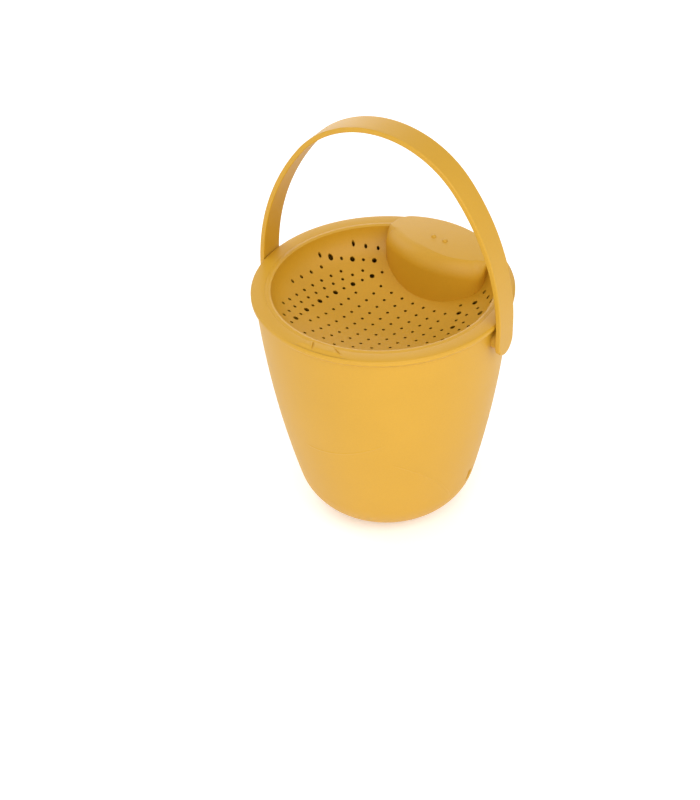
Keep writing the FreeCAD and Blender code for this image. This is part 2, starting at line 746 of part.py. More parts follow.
def write_parts(pieces):
    """Check each finished piece and write it to its own file."""
    os.makedirs(PARTS_FOLDER, exist_ok=True)
    for piece in pieces:
        shape = piece.Shape
        if shape.isNull() or not shape.isValid() or len(shape.Solids) != 1:
            raise RuntimeError(f"{piece.Name}: {len(shape.Solids)} solids, valid {shape.isValid()}")
        box = shape.optimalBoundingBox(False)
        print(f"{piece.Name}: volume {shape.Volume:.0f}, faces {len(shape.Faces)}, "
              f"x {box.XMin:.1f}..{box.XMax:.1f}, y {box.YMin:.1f}..{box.YMax:.1f}, "
              f"z {box.ZMin:.1f}..{box.ZMax:.1f}")
        piece.Label = piece.Name
        shape.exportStep(os.path.join(PARTS_FOLDER, f"{piece.Label}.step"))


fill_sheet()
finished = [bucket_body(), sieve(), handle()]
check_document()
write_parts(finished)
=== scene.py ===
import json
import math

import bmesh
import bpy
from mathutils import Matrix, Vector


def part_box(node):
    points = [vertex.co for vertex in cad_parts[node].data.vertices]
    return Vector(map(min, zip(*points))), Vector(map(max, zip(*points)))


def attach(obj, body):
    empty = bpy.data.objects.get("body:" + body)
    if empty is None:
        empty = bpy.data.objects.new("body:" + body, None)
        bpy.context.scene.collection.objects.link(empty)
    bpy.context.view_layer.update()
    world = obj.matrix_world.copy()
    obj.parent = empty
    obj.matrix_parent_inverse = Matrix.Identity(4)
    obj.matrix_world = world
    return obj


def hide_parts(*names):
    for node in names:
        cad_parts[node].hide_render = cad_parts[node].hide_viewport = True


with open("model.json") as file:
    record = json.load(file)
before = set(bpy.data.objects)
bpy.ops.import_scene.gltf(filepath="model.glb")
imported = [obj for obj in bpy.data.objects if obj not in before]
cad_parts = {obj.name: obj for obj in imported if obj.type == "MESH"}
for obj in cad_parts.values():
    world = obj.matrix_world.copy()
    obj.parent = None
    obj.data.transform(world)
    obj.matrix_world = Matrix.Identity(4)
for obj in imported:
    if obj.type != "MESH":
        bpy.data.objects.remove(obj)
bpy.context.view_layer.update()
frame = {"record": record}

# Everything below is worked out in millimetres and scaled once, when a mesh is made.
METRES = 0.001


def in_millimetres(length):
    """A length from the frame, to a hundredth of a millimetre."""
    return round(length / METRES, 2)


# ---------------------------------------------------------------- sizes of the bucket

BASE_RADIUS = 29.1
ROUND_RADIUS = 40.2
WALL_DRAFT = 14.1
WALL_RADIUS = 847.0
WALL_SKIN = 2.5
FLANGE_RADIUS = in_millimetres(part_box("bucket_body")[1].y)
FLANGE_TOP = 190.0
FLANGE_CREST = 89.5
FLANGE_CROWN = 50.0
UNDERSIDE = FLANGE_TOP - 4
FLARE_FOOT = UNDERSIDE - 2.5
SEAT_RADIUS = 84.6
SEAT_FLOOR = FLANGE_TOP - 2.3
MOUTH_RADIUS = 82.8
WALL_CENTRE = (
    BASE_RADIUS + (ROUND_RADIUS - WALL_RADIUS) * math.cos(math.radians(WALL_DRAFT)),
    ROUND_RADIUS + (WALL_RADIUS - ROUND_RADIUS) * math.sin(math.radians(WALL_DRAFT)),
)
DIMPLE_HEIGHT = 37.5
DIMPLE_BEARINGS = (1.0, 179.0)
DIMPLE_RADIUS = 5.5
DIMPLE_DEPTH = 1.9
DIMPLE_EDGE = 0.5
RIDGE_HEIGHT = 0.28
RIDGE_WIDTH = 2.4

PIVOT_HEIGHT = in_millimetres(frame["record"]["behaviour"]["joints"][0]["pos_m"][2])
PIVOT_HOLE = 3.06
BOSS_RADIUS = 7.0
BOSS_REACH = in_millimetres(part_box("bucket_body")[1].x)

FLUKE_BEARING = -88.6
FLUKE_HEIGHT = 1.0
FLUKE_LIFT = 0.02
FLUKE_HALF_TURN = 16.15
FLUKE_BED_HALF_TURN = 14.0
FLUKE_GROOVE = 1.0
FLUKE_GROOVE_HALF_WIDTH = 0.8
FLUKE_CREASE = -7.4
FLUKE_CREASE_SLOPE = 0.39
FLUKE_EDGE = 92.9
FLUKE_SPAN = 22.5
FLUKE_NOTCH_CENTRE = (25.9, -64.2)
FLUKE_NOTCH_RADIUS = 26.7

# ---------------------------------------------------------------- sizes of the sieve

SIEVE_TURN = -9.0
SIEVE_SKIN = 2.0
BOWL_RADIUS = 80.4
BOWL_DEPTH = 40.0
FLOOR_RADIUS = 140.0
FLOOR_ANGLE = 29.0
LIP_RADIUS = SEAT_RADIUS - 0.03
LIP_BEVEL = 1.8
LIP_FALL = 0.6
FLOOR_CENTRE = FLANGE_TOP - BOWL_DEPTH + FLOOR_RADIUS
FLOOR_SINE = math.sin(math.radians(FLOOR_ANGLE))
FLOOR_COSINE = math.cos(math.radians(FLOOR_ANGLE))
SIDE_RADIUS = (BOWL_RADIUS - FLOOR_RADIUS * FLOOR_SINE) / (1 - FLOOR_SINE)
SIDE_ACROSS = BOWL_RADIUS - SIDE_RADIUS
SIDE_CENTRE = FLOOR_CENTRE - (FLOOR_RADIUS - SIDE_RADIUS) * FLOOR_COSINE
SMALL_HOLE = 1.15
LARGE_HOLE = 1.85
HOLE_FLARE = 1.2

GRIP_FRONT = 41.5
GRIP_FRONT_RADIUS = 72.3
GRIP_HALF_WIDTH = 45.0
GRIP_BACK = 92.3
GRIP_CORNER = 12.0
GRIP_CROWN = FLANGE_TOP + 4.6
GRIP_CROWN_Y = 67.0
GRIP_CROWN_RADIUS = 420.0
GRIP_SKIN = 2.2
GRIP_GAP = 0.3
HOLLOW_BACK = 80.2
HOLLOW_CORNER = 4.0
BUMP_RADIUS = 2.0
BUMP_SPACING = 10.4

# ---------------------------------------------------------------- sizes of the handle

HANDLE_LEAN = 2.2
STRAP_HALF_THICKNESS = 1.9
STRAP_HALF_SPAN = in_millimetres(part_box("handle")[1].x) - STRAP_HALF_THICKNESS
STRAP_SPRING = 182.0
STRAP_TOP_RADIUS = 79.0
STRAP_TOP_CENTRE = 234.3
STRAP_HALF_WIDTH = 10.5
STRAP_EDGE = 0.8
STUD_RADIUS = 3.0
STUD_HEAD = 4.0
STUD_HEAD_OUTER = 88.0
STUD_TIP = 86.2


# ---------------------------------------------------------------- outlines

def arc(centre, radius, start, end, steps):
    """Points on an arc between two angles in degrees."""
    angles = [math.radians(angle) for angle in spread(start, end, steps + 1)]
    return [(centre[0] + radius * math.cos(angle), centre[1] + radius * math.sin(angle)) for angle in angles]


def spread(start, end, count):
    """Evenly spaced numbers from start to end."""
    return [start + (end - start) * number / (count - 1) for number in range(count)]


def softened(corners, steps=6):
    """Closed outline in which every corner that gives a radius is rounded."""
    outline = []
    for number, corner in enumerate(corners):
        here = Vector(corner[:2])
        if len(corner) == 2:
            outline.append(here)
            continue
        before = (Vector(corners[number - 1][:2]) - here).normalized()
        after = (Vector(corners[(number + 1) % len(corners)][:2]) - here).normalized()
        half = before.angle(after) / 2
        centre = here + (before + after).normalized() * corner[2] / math.sin(half)
        first = here + before * corner[2] / math.tan(half) - centre
        last = here + after * corner[2] / math.tan(half) - centre
        for share in spread(0, 1, steps + 1):
            outline.append(centre + first.lerp(last, share).normalized() * corner[2])
    return outline


def evenly(outline, count):
    """The closed outline as a given number of evenly spaced points."""
    lengths = [(outline[(n + 1) % len(outline)] - point).length for n, point in enumerate(outline)]
    gap = sum(lengths) / count
    points, side, passed = [], 0, 0.0
    for number in range(count):
        while passed + lengths[side] < number * gap:
            passed += lengths[side]
            side += 1
        share = (number * gap - passed) / lengths[side]
        points.append(outline[side].lerp(outline[(side + 1) % len(outline)], share))
    return points


def eased(value):
    """Smooth step from 0 to 1 while the value goes from 0 to 1."""
    value = min(max(value, 0.0), 1.0)
    return value * value * (3 - 2 * value)


def bearings(step, fine_about=(), fine_step=0.3, reach=6.0):
    """Bearings once around in degrees, closer together about the given ones."""
    around = [number * step for number in range(round(360 / step))]
    for middle in fine_about:
        around = [b for b in around if abs((b - middle + 180) % 360 - 180) > reach + step / 2]
        count = round(2 * reach / fine_step)
        around += [(middle - reach + number * fine_step) % 360 for number in range(count + 1)]
    return sorted(around)


# ---------------------------------------------------------------- meshes

# In metres: points closer than the first are one point, and edges under the second are dropped.
WELD = 2e-6
SLIVER = 1e-7
SHARP_ANGLE = math.radians(50)


def skin(name, rings, joined=True, looped=True):
    """Smooth mesh through rings of points; joined closes each ring, looped closes the row of them."""
    size = len(rings[0])
    faces = []
    for number in range(len(rings) if looped else len(rings) - 1):
        here, there = number * size, (number + 1) % len(rings) * size
        for step in range(size if joined else size - 1):
            following = (step + 1) % size
            faces.append((here + step, here + following, there + following, there + step))
    mesh = bpy.data.meshes.new(name)
    mesh.from_pydata([Vector(point) * METRES for ring in rings for point in ring], [], faces)
    form = bmesh.new()
    form.from_mesh(mesh)
    bmesh.ops.remove_doubles(form, verts=form.verts, dist=WELD)
    bmesh.ops.dissolve_degenerate(form, edges=form.edges, dist=SLIVER)
    bmesh.ops.recalc_face_normals(form, faces=form.faces)
    form.to_mesh(mesh)
    form.free()
    mesh.shade_smooth()
    return mesh


def upright(across, up, bearing):
    """Point of a shape turned about Z."""
    angle = math.radians(bearing)
    return Vector((across * math.cos(angle), across * math.sin(angle), up))


def sideways(direction):
    """Placement for a shape turned about the pivot axis: up becomes out along X."""
    def place(across, up, bearing):
        angle = math.radians(bearing)
        return Vector((direction * up, across * math.cos(angle), PIVOT_HEIGHT + across * math.sin(angle)))
    return place


def turned(name, outline, around, place=upright, looped=True):
    """Shape of revolution from a closed outline of radii and heights."""
    rings = [[place(point[0], point[1], bearing) for point in outline] for bearing in around]
    return skin(name, rings, looped=looped)


def piece(mesh, body, node):
    """Object that shows a mesh, rides on a body and stands for a CAD node."""
    thing = bpy.data.objects.new(mesh.name, mesh)
    bpy.context.scene.collection.objects.link(thing)
    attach(thing, body)
    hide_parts(node)
    thing.data.materials.append(plastic)
    mesh.set_sharp_from_angle(angle=SHARP_ANGLE)
    thing.modifiers.new("weighted_normals", "WEIGHTED_NORMAL").keep_sharp = True
    return thing


def without(mesh, tool):
    """The mesh less the space that the tool mesh takes."""
    base = bpy.data.objects.new(mesh.name, mesh)
    cutter = bpy.data.objects.new("cutter", tool)
    for thing in (base, cutter):
        bpy.context.scene.collection.objects.link(thing)
    change = base.modifiers.new("cut", "BOOLEAN")
    change.object = cutter
    change.operation = "DIFFERENCE"
    change.solver = "EXACT"
    result = bpy.data.meshes.new_from_object(base.evaluated_get(bpy.context.evaluated_depsgraph_get()))
    result.name = mesh.name
    for thing in (base, cutter):
        bpy.data.objects.remove(thing)
    return result


def merged(name, meshes):
    """Several meshes as one."""
    form = bmesh.new()
    for mesh in meshes:
        form.from_mesh(mesh)
    whole = bpy.data.meshes.new(name)
    form.to_mesh(whole)
    form.free()
    return whole


# ---------------------------------------------------------------- materials

CLOUD_SCALE, CLOUD_DETAIL = 18.0, 3.0
GRAIN_SCALE, GRAIN_DETAIL = 900.0, 4.0
GRAIN_SHARE = 0.55
ROUGHNESS_RANGE = 0.06
GRAIN_DEPTH = 0.0002
GRAIN_STRENGTH = 0.25


def moulded_plastic(name, light, dark, roughness):
    """Matte moulded plastic: two close tones in soft clouds, with fine grain in tone, gloss and bump."""
    material = bpy.data.materials.new(name)
    material.use_nodes = True
    nodes, links = material.node_tree.nodes, material.node_tree.links
    shader = nodes["Principled BSDF"]
    place = nodes.new("ShaderNodeTexCoord")

    def noise(scale, detail):
        texture = nodes.new("ShaderNodeTexNoise")
        texture.inputs["Scale"].default_value = scale
        texture.inputs["Detail"].default_value = detail
        links.new(place.outputs["Object"], texture.inputs["Vector"])
        return texture.outputs["Fac"]

    clouds = noise(CLOUD_SCALE, CLOUD_DETAIL)
    grain = noise(GRAIN_SCALE, GRAIN_DETAIL)
    blend = nodes.new("ShaderNodeMath")
    blend.operation = "MULTIPLY_ADD"
    blend.inputs[1].default_value = GRAIN_SHARE
    links.new(grain, blend.inputs[0])
    rest = nodes.new("ShaderNodeMath")
    rest.operation = "MULTIPLY"
    rest.inputs[1].default_value = 1 - GRAIN_SHARE
    links.new(clouds, rest.inputs[0])
    links.new(rest.outputs[0], blend.inputs[2])
    tones = nodes.new("ShaderNodeValToRGB")
    tones.color_ramp.elements[0].position = 0.3
    tones.color_ramp.elements[0].color = (*dark, 1)
    tones.color_ramp.elements[1].position = 0.7
    tones.color_ramp.elements[1].color = (*light, 1)
    links.new(blend.outputs[0], tones.inputs["Fac"])
    links.new(tones.outputs["Color"], shader.inputs["Base Color"])
    gloss = nodes.new("ShaderNodeMapRange")
    gloss.inputs["To Min"].default_value = roughness - ROUGHNESS_RANGE
    gloss.inputs["To Max"].default_value = roughness + ROUGHNESS_RANGE
    links.new(grain, gloss.inputs["Value"])
    links.new(gloss.outputs["Result"], shader.inputs["Roughness"])
    bump = nodes.new("ShaderNodeBump")
    bump.inputs["Strength"].default_value = GRAIN_STRENGTH
    bump.inputs["Distance"].default_value = GRAIN_DEPTH
    links.new(grain, bump.inputs["Height"])
    links.new(bump.outputs["Normal"], shader.inputs["Normal"])
    return material


plastic = moulded_plastic("mustard_plastic", (0.585, 0.31, 0.0125), (0.54, 0.283, 0.0100), 0.5)


# ---------------------------------------------------------------- the bucket

def wall_angle(height):
    """Angle on the wall's bulge at a height."""
    return math.degrees(math.asin((height - WALL_CENTRE[1]) / WALL_RADIUS))


def wall_reach(height):
    """Outside radius of the wall at a height."""
    return WALL_CENTRE[0] + math.sqrt(WALL_RADIUS ** 2 - (height - WALL_CENTRE[1]) ** 2)


def flange_surface(across):
    """Height of the flange's gently crowned top."""
    return FLANGE_TOP - FLANGE_CROWN + math.sqrt(FLANGE_CROWN ** 2 - (across - FLANGE_CREST) ** 2)


def shell_outline():
    """Outside of the bucket from the middle of its base, over the flange, and back inside."""
    base = (BASE_RADIUS, ROUND_RADIUS)
    fine_top, wall_top = DIMPLE_HEIGHT + 8, FLARE_FOOT - 4
    across_top = [*spread(FLANGE_RADIUS - 2.8, SEAT_RADIUS + 1.6, 7), SEAT_RADIUS + 1.1]
    top = [(across, flange_surface(across)) for across in across_top]
    inner_round, inner_wall = ROUND_RADIUS - WALL_SKIN, WALL_RADIUS - WALL_SKIN
    mouth_top = wall_reach(UNDERSIDE) - WALL_SKIN
    return softened([
        (0, 0), (BASE_RADIUS / 2, 0),
        *arc(base, ROUND_RADIUS, -90, -WALL_DRAFT, 40),
        *arc(WALL_CENTRE, WALL_RADIUS, -WALL_DRAFT, wall_angle(fine_top), 36)[1:],
        *arc(WALL_CENTRE, WALL_RADIUS, wall_angle(fine_top), wall_angle(wall_top), 60)[1:],
        (wall_reach(FLARE_FOOT), FLARE_FOOT, 2.0),
        (FLANGE_RADIUS, UNDERSIDE + 0.6, 1.0),
        (FLANGE_RADIUS, flange_surface(FLANGE_RADIUS), 1.5),
        *top, (SEAT_RADIUS, flange_surface(SEAT_RADIUS), 0.1),
        (SEAT_RADIUS, SEAT_FLOOR), (MOUTH_RADIUS, SEAT_FLOOR, 0.3), (MOUTH_RADIUS, UNDERSIDE, 0.5),
        (mouth_top, UNDERSIDE, 0.8),
        *arc(WALL_CENTRE, inner_wall, wall_angle(wall_top), -WALL_DRAFT, 60),
        *arc(base, inner_round, -WALL_DRAFT, -90, 30)[1:],
        (BASE_RADIUS / 2, WALL_SKIN), (0, WALL_SKIN),
    ])


def shell_point(across, up, bearing):
    """Point of the shell, pressed in where it lies in a side dimple or under the fluke."""
    outside = across > wall_reach(min(up, UNDERSIDE)) - WALL_SKIN / 2
    if outside and abs(up - DIMPLE_HEIGHT) < 2 * DIMPLE_RADIUS:
        for middle in DIMPLE_BEARINGS:
            along = math.radians(bearing - middle) * across
            away = math.hypot(along, up - DIMPLE_HEIGHT)
            across -= DIMPLE_DEPTH * eased((DIMPLE_RADIUS - away) / DIMPLE_EDGE)
    if up > FLANGE_TOP - 1 and under_fluke(across, bearing):
        up -= FLUKE_GROOVE + 0.2
    return upright(across, up, bearing)


def pivot_drill():
    """Drill along the pivot axis, through both sides."""
    reach = FLANGE_RADIUS + 5
    outline = [Vector((0, -reach)), Vector((PIVOT_HOLE, -reach)),
               Vector((PIVOT_HOLE, reach)), Vector((0, reach))]
    return turned("pivot_drill", outline, bearings(5), sideways(1))


def boss(name, direction):
    """Pivot boss: a rounded ring on the wall."""
    root = wall_reach(PIVOT_HEIGHT) - WALL_SKIN / 2
    outline = softened([
        (PIVOT_HOLE, root), (PIVOT_HOLE, BOSS_REACH, 0.3),
        (BOSS_RADIUS, BOSS_REACH, 0.7), (BOSS_RADIUS, root)])
    return turned(name, outline, bearings(3), sideways(direction))


def groove(away):
    """Depth of a fluke groove at a distance from its middle line."""
    return FLUKE_GROOVE * max(1 - (away / FLUKE_GROOVE_HALF_WIDTH) ** 2, 0) ** 2


def fluke_rise(across, along):
    """Height of the fluke over the flange, at a place given from the fluke's own middle line.

    It fades towards the flange's edge. Fine grooves mark its curved right side and a crease on its left.
    """
    beside = abs(across)
    clear = math.dist((beside, along), FLUKE_NOTCH_CENTRE) - FLUKE_NOTCH_RADIUS
    outer = FLUKE_EDGE - math.hypot(across, along)
    crease = across - FLUKE_CREASE + FLUKE_CREASE_SLOPE * (SEAT_RADIUS + along)
    side = groove(clear + 0.5) * eased((17 - beside) / 4) * eased(across)
    rise = FLUKE_HEIGHT * eased(min(clear, FLUKE_SPAN - beside) / 0.5)
    return (rise - max(side, groove(crease))) * eased(outer / 3)


def under_fluke(across, bearing):
    """Whether a point of the flange's top lies under the fluke, where the shell keeps clear of it."""
    beside = abs(bearing - FLUKE_BEARING % 360)
    return beside < FLUKE_BED_HALF_TURN and SEAT_RADIUS + 0.6 < across < FLUKE_EDGE + 0.2


def fluke():
    """Low fluke modelled on the front of the flange, with a wall on the seat's side."""
    turn = Matrix.Rotation(math.radians(FLUKE_BEARING + 90), 3, "Z")
    seat_side = SEAT_RADIUS + 0.15
    rings = []
    for bearing in spread(-90 - FLUKE_HALF_TURN, -90 + FLUKE_HALF_TURN, 171):
        foot = flange_surface(seat_side) + FLUKE_LIFT - FLUKE_GROOVE
        ring = [turn @ upright(seat_side, foot, bearing)]
        for across in spread(seat_side, FLUKE_EDGE + 0.6, 36):
            spot = upright(across, flange_surface(across) + FLUKE_LIFT, bearing)
            spot.z += fluke_rise(spot.x, spot.y)
            ring.append(turn @ spot)
        rings.append(ring)
    return skin("bucket_fluke", rings, joined=False, looped=False)


def ridge(name, bearing, start, end, bend):
    """Low raised line on the wall, an arc seen from its bearing between two (across, up) points."""
    start, end = Vector(start), Vector(end)
    left = (end - start).orthogonal().normalized()
    rise = math.sqrt(bend ** 2 - ((end - start).length / 2) ** 2)
    centre = (start + end) / 2 + left * math.copysign(rise, bend)
    angle = math.radians(bearing)
    facing = Vector((math.cos(angle), math.sin(angle), 0))
    beside = Vector((-math.sin(angle), math.cos(angle), 0))
    rings = []
    for share in spread(0, 1, 121):
        spoke = (start.lerp(end, share) - centre).normalized()
        taper = eased(min(share, 1 - share) / 0.12)
        ring = []
        for offset in spread(-1, 1, 9):
            spot = centre + spoke * (abs(bend) + offset * RIDGE_WIDTH / 2)
            lift = RIDGE_HEIGHT * taper * (1 - offset ** 2) ** 2 - 0.02
            depth = math.sqrt((wall_reach(spot.y) + lift) ** 2 - spot.x ** 2)
            ring.append(facing * depth + beside * spot.x + Vector((0, 0, spot.y)))
        rings.append(ring)
    return skin(name, rings, joined=False, looped=False)


def build_bucket():
    """Shell with its dimples and pivot holes, bosses, fluke and raised lines."""
    around = bearings(1.5, fine_about=DIMPLE_BEARINGS)
    shell = turned("bucket_shell", shell_outline(), around, shell_point)
    meshes = [
        without(shell, pivot_drill()),
        boss("bucket_boss_right", 1),
        boss("bucket_boss_left", -1),
        fluke(),
        ridge("bucket_belly_line", bearing=-90, start=(-23.0, 89.1), end=(43.8, 109.6), bend=138.0),
        ridge("bucket_flank_line", bearing=-37, start=(-28.5, 87.7), end=(24.7, 28.2), bend=-102.3),
    ]
    for mesh in meshes:
        piece(mesh, "bucket", "bucket_body")


# ---------------------------------------------------------------- the sieve

def bowl_surface(across):
    """Height of the bowl's inside at a distance from its middle."""
    if across < FLOOR_RADIUS * FLOOR_SINE:
        return FLOOR_CENTRE - math.sqrt(FLOOR_RADIUS ** 2 - across ** 2)
    return SIDE_CENTRE - math.sqrt(max(SIDE_RADIUS ** 2 - (across - SIDE_ACROSS) ** 2, 0))


def bowl_outline():
    """Inside of the bowl from its middle, over the lip, and back underneath."""
    floor, side = (0, FLOOR_CENTRE), (SIDE_ACROSS, SIDE_CENTRE)
    turn = FLOOR_ANGLE - 90
    lip_bottom = FLANGE_TOP - 2
    return softened([
        *arc(floor, FLOOR_RADIUS, -90, turn, 56),
        *arc(side, SIDE_RADIUS, turn, -4, 18)[1:],
        (BOWL_RADIUS, FLANGE_TOP - LIP_FALL, 0.5), (BOWL_RADIUS + LIP_BEVEL, FLANGE_TOP, 1.5),
        (LIP_RADIUS, flange_surface(LIP_RADIUS), 0.1),
        (LIP_RADIUS, lip_bottom, 0.3), (BOWL_RADIUS + SIEVE_SKIN, lip_bottom),
        *arc(side, SIDE_RADIUS + SIEVE_SKIN, 0, turn, 18)[1:],
        *arc(floor, FLOOR_RADIUS + SIEVE_SKIN, turn, -90, 56)[1:],
    ])


# rows that curve around the grid: centre, radius, first hole's y, spacing, number of holes, and
# which of them are large: 0 for the first and every second one after it, 1 for the others
CURVED_ROWS = [
    ((57.0, -10.0), 108.5, 44.2, 8.3, 14, 1),
    ((57.0, -10.0), 115.3, 35.6, 8.9, 12, None),
    ((57.0, -10.0), 121.3, 23.0, 9.3, 8, None),
    ((57.0, -10.0), 129.6, 13.2, 10.2, 4, None),
    ((17.0, -39.7), 108.5, 47.7, 8.3, 6, 0),
    ((17.0, -39.7), 116.5, 55.7, 9.4, 3, None),
]
GRID_COLUMN, GRID_ROW = 10.1, 8.65
GRID_TOP, GRID_REACH = 34.3, 73.0
GRID_ROWS, COLUMNS_EACH_SIDE = 14, 4
OUTER_COLUMN_FRONT, OUTER_COLUMN_BACK = -37.0, 18.0


def grid_holes():
    """Straight grid of small holes in front of the grip."""
    spots = []
    for column in range(-COLUMNS_EACH_SIDE, COLUMNS_EACH_SIDE + 1):
        for row in range(GRID_ROWS):
            across, along = column * GRID_COLUMN, GRID_TOP - row * GRID_ROW
            shorter = abs(column) == COLUMNS_EACH_SIDE
            left_out = shorter and not OUTER_COLUMN_FRONT < along < OUTER_COLUMN_BACK
            if math.hypot(across, along) < GRID_REACH and not left_out:
                spots.append((across, along, SMALL_HOLE))
    return spots


def curved_holes():
    """Curved rows on both flanks, mirrored about the sieve's middle."""
    spots = []
    for (centre_x, centre_y), radius, first_y, spacing, count, large_ones in CURVED_ROWS:
        start = math.asin((first_y - centre_y) / radius)
        for number in range(count):
            angle = start - number * spacing / radius
            across = centre_x - radius * math.cos(angle)
            along = centre_y + radius * math.sin(angle)
            size = LARGE_HOLE if number % 2 == large_ones else SMALL_HOLE
            spots += [(side * across, along, size) for side in (1, -1)]
    return spots


def drill(across, along, size):
    """Drill for one hole: straight through the surface, then opening out underneath."""
    centre = Vector((across, along, 0))
    wide = size + HOLE_FLARE
    top, bottom = bowl_surface(centre.length) + 6, bowl_surface(centre.length) - 12
    rings = []
    for bearing in bearings(15):
        way = upright(1, 0, bearing)
        surface = bowl_surface((centre + way * size).length)
        shoulder = min(surface, bowl_surface((centre + way * wide).length)) - 1.4
        outline = [
            (0, bottom), (wide, bottom), (wide, shoulder),
            (size, surface - 0.35), (size, top), (0, top)]
        rings.append([centre + way * out + Vector((0, 0, up)) for out, up in outline])
    return skin("drill", rings)


def grip_outline(inset, back, corner):
    """Plan of the grip from the middle of its front: curved front, flat sides, back on a circle."""
    front_radius, half = GRIP_FRONT_RADIUS - inset, GRIP_HALF_WIDTH - inset
    front_centre = GRIP_FRONT + GRIP_FRONT_RADIUS
    front_corner = front_centre - math.sqrt(front_radius ** 2 - half ** 2)
    back_corner = math.sqrt(back ** 2 - half ** 2)
    clear = half - corner * 0.6
    front_turn = math.degrees(math.asin(clear / front_radius))
    back_turn = math.degrees(math.asin(clear / back))
    half_front = arc((0, front_centre), front_radius, -90, front_turn - 90, 24)
    whole_back = arc((0, 0), back, 90 - back_turn, 90 + back_turn, 48)
    other_front = arc((0, front_centre), front_radius, -90 - front_turn, -90, 24)
    corners = softened([
        *half_front, (half, front_corner, corner), (half, back_corner, corner), *whole_back,
        (-half, back_corner, corner), (-half, front_corner, corner), *other_front[:-1]], steps=10)
    return evenly(corners, 300)


def crown(spot, inset=0.0):
    """Height of the grip's crowned top over a place, or of its ceiling with an inset."""
    radius = GRIP_CROWN_RADIUS - inset
    away = spot.x ** 2 + (spot.y - GRIP_CROWN_Y) ** 2
    return GRIP_CROWN - GRIP_CROWN_RADIUS + math.sqrt(radius ** 2 - away)


def grip_edge(spot):
    """Radius of the grip's top edge and the angle where it meets the top.

    Small along the sides and back; along the front it is large, smooth on the left and creased
    on the right.
    """
    front = eased((66 - spot.y) / 9)
    right = eased((spot.x + 14) / 42)
    radius = 1.2 + front * (10 + 4 * right)
    return radius, math.radians(90 - 32 * front * right)


def inward(outline):
    """Unit vectors that point into a closed outline, one for each of its points."""
    ways = []
    for number in range(len(outline)):
        along = (outline[(number + 1) % len(outline)] - outline[number - 1]).normalized()
        ways.append(Vector((-along.y, along.x)))
    return ways


def raised(outline, height):
    """Ring in space over a plan, at the height that a function gives for each point."""
    return [Vector((point.x, point.y, height(point))) for point in outline]


def toward_middle(outline, share):
    """The outline shrunk towards the crown's highest point."""
    middle = Vector((0, GRIP_CROWN_Y))
    return [middle.lerp(point, share) for point in outline]


def grip_foot(point):
    """Foot of the grip's outside: in the bowl's skin, on the lip, or just over the flange."""
    away = point.length
    if away < BOWL_RADIUS - 0.2:
        return bowl_surface(away) - SIEVE_SKIN / 2
    return FLANGE_TOP - 0.4 if away < LIP_RADIUS - 0.2 else FLANGE_TOP + GRIP_GAP


def wall_end(point, inset=0.0):
    """Height where the grip's upright wall ends and its rounded edge begins."""
    radius, limit = grip_edge(point)
    return crown(point, inset) - radius * math.sin(limit)


def rounded_edge(plan, share):
    """Ring on the rounded edge, from the wall at share 0 to the top at share 1."""
    ring = []
    for point, way in zip(plan, inward(plan)):
        radius, limit = grip_edge(point)
        angle = limit * share
        spot = point + way * radius * (1 - math.cos(angle))
        drop = radius * (math.sin(limit) - math.sin(angle))
        ring.append(Vector((spot.x, spot.y, crown(spot) - drop)))
    return ring


# where the rings lie between the middle, 0, and the edge, 1, of the hollow's ceiling and the grip's top
CEILING_SHARES = (0.0, 0.15, 0.3, 0.45, 0.6, 0.75, 0.88, 1.0)
TOP_SHARES = (0.99, 0.96, 0.91, 0.84, 0.74, 0.62, 0.48, 0.34, 0.2, 0.08, 0.0)


def grip_inside():
    """Rings of the hollow, from the middle of its ceiling down to its foot."""
    plan = grip_outline(GRIP_SKIN, HOLLOW_BACK, HOLLOW_CORNER)
    ceiling = [spot.to_2d() for spot in rounded_edge(plan, 1)]
    rings = []
    for share in CEILING_SHARES:
        rings.append(raised(toward_middle(ceiling, share), lambda p: crown(p, GRIP_SKIN)))
    for share in spread(0, 1, 3):
        rings.append(raised(plan, lambda p, share=share: (
            (wall_end(p, GRIP_SKIN) - 1) * (1 - share) + (bowl_surface(p.length) - 1) * share)))
    return rings


def grip_outside():
    """Rings from the lip out under the back, up the wall, round the edge and over the top."""
    plan = grip_outline(0.0, GRIP_BACK, GRIP_CORNER)
    lip = [point * min(1.0, (LIP_RADIUS - 0.3) / point.length) for point in plan]
    rings = [raised(lip, grip_foot), [Vector((p.x, p.y, grip_foot(q))) for p, q in zip(lip, plan)]]
    for share in (0.0, 0.25, 0.5, 0.75, 0.95):
        rings.append(raised(plan, lambda p, share=share: (
            grip_foot(p) * (1 - share) + wall_end(p) * share)))
    rings += [rounded_edge(plan, share) for share in spread(0, 1, 15)]
    top = [spot.to_2d() for spot in rings[-1]]
    rings += [raised(toward_middle(top, share), crown) for share in TOP_SHARES]
    return rings


def grip():
    """Hollow grip, open underneath."""
    return skin("sieve_grip", grip_inside() + grip_outside(), looped=False)


def hollow_tool():
    """The space inside the grip, to be cut from the bowl."""
    plan = grip_outline(GRIP_SKIN - 0.05, HOLLOW_BACK, HOLLOW_CORNER)
    low, high = FLANGE_TOP - BOWL_DEPTH - 20, FLANGE_TOP + 1
    heights = [(0.0, low), (1.0, low), (1.0, high), (0.0, high)]
    rings = [raised(toward_middle(plan, share), lambda p, z=z: z) for share, z in heights]
    return skin("hollow", rings, looped=False)


def bump(name, direction):
    """Blowhole bump on the grip's crown."""
    spot = Vector((direction * BUMP_SPACING / 2, GRIP_CROWN_Y, crown(Vector((0, GRIP_CROWN_Y))) - 0.6))
    outline = [*arc((0, 0), BUMP_RADIUS, -20, 90, 14), (0, -0.6)]
    return turned(name, outline, bearings(12), lambda r, z, b: spot + upright(r, z, b))


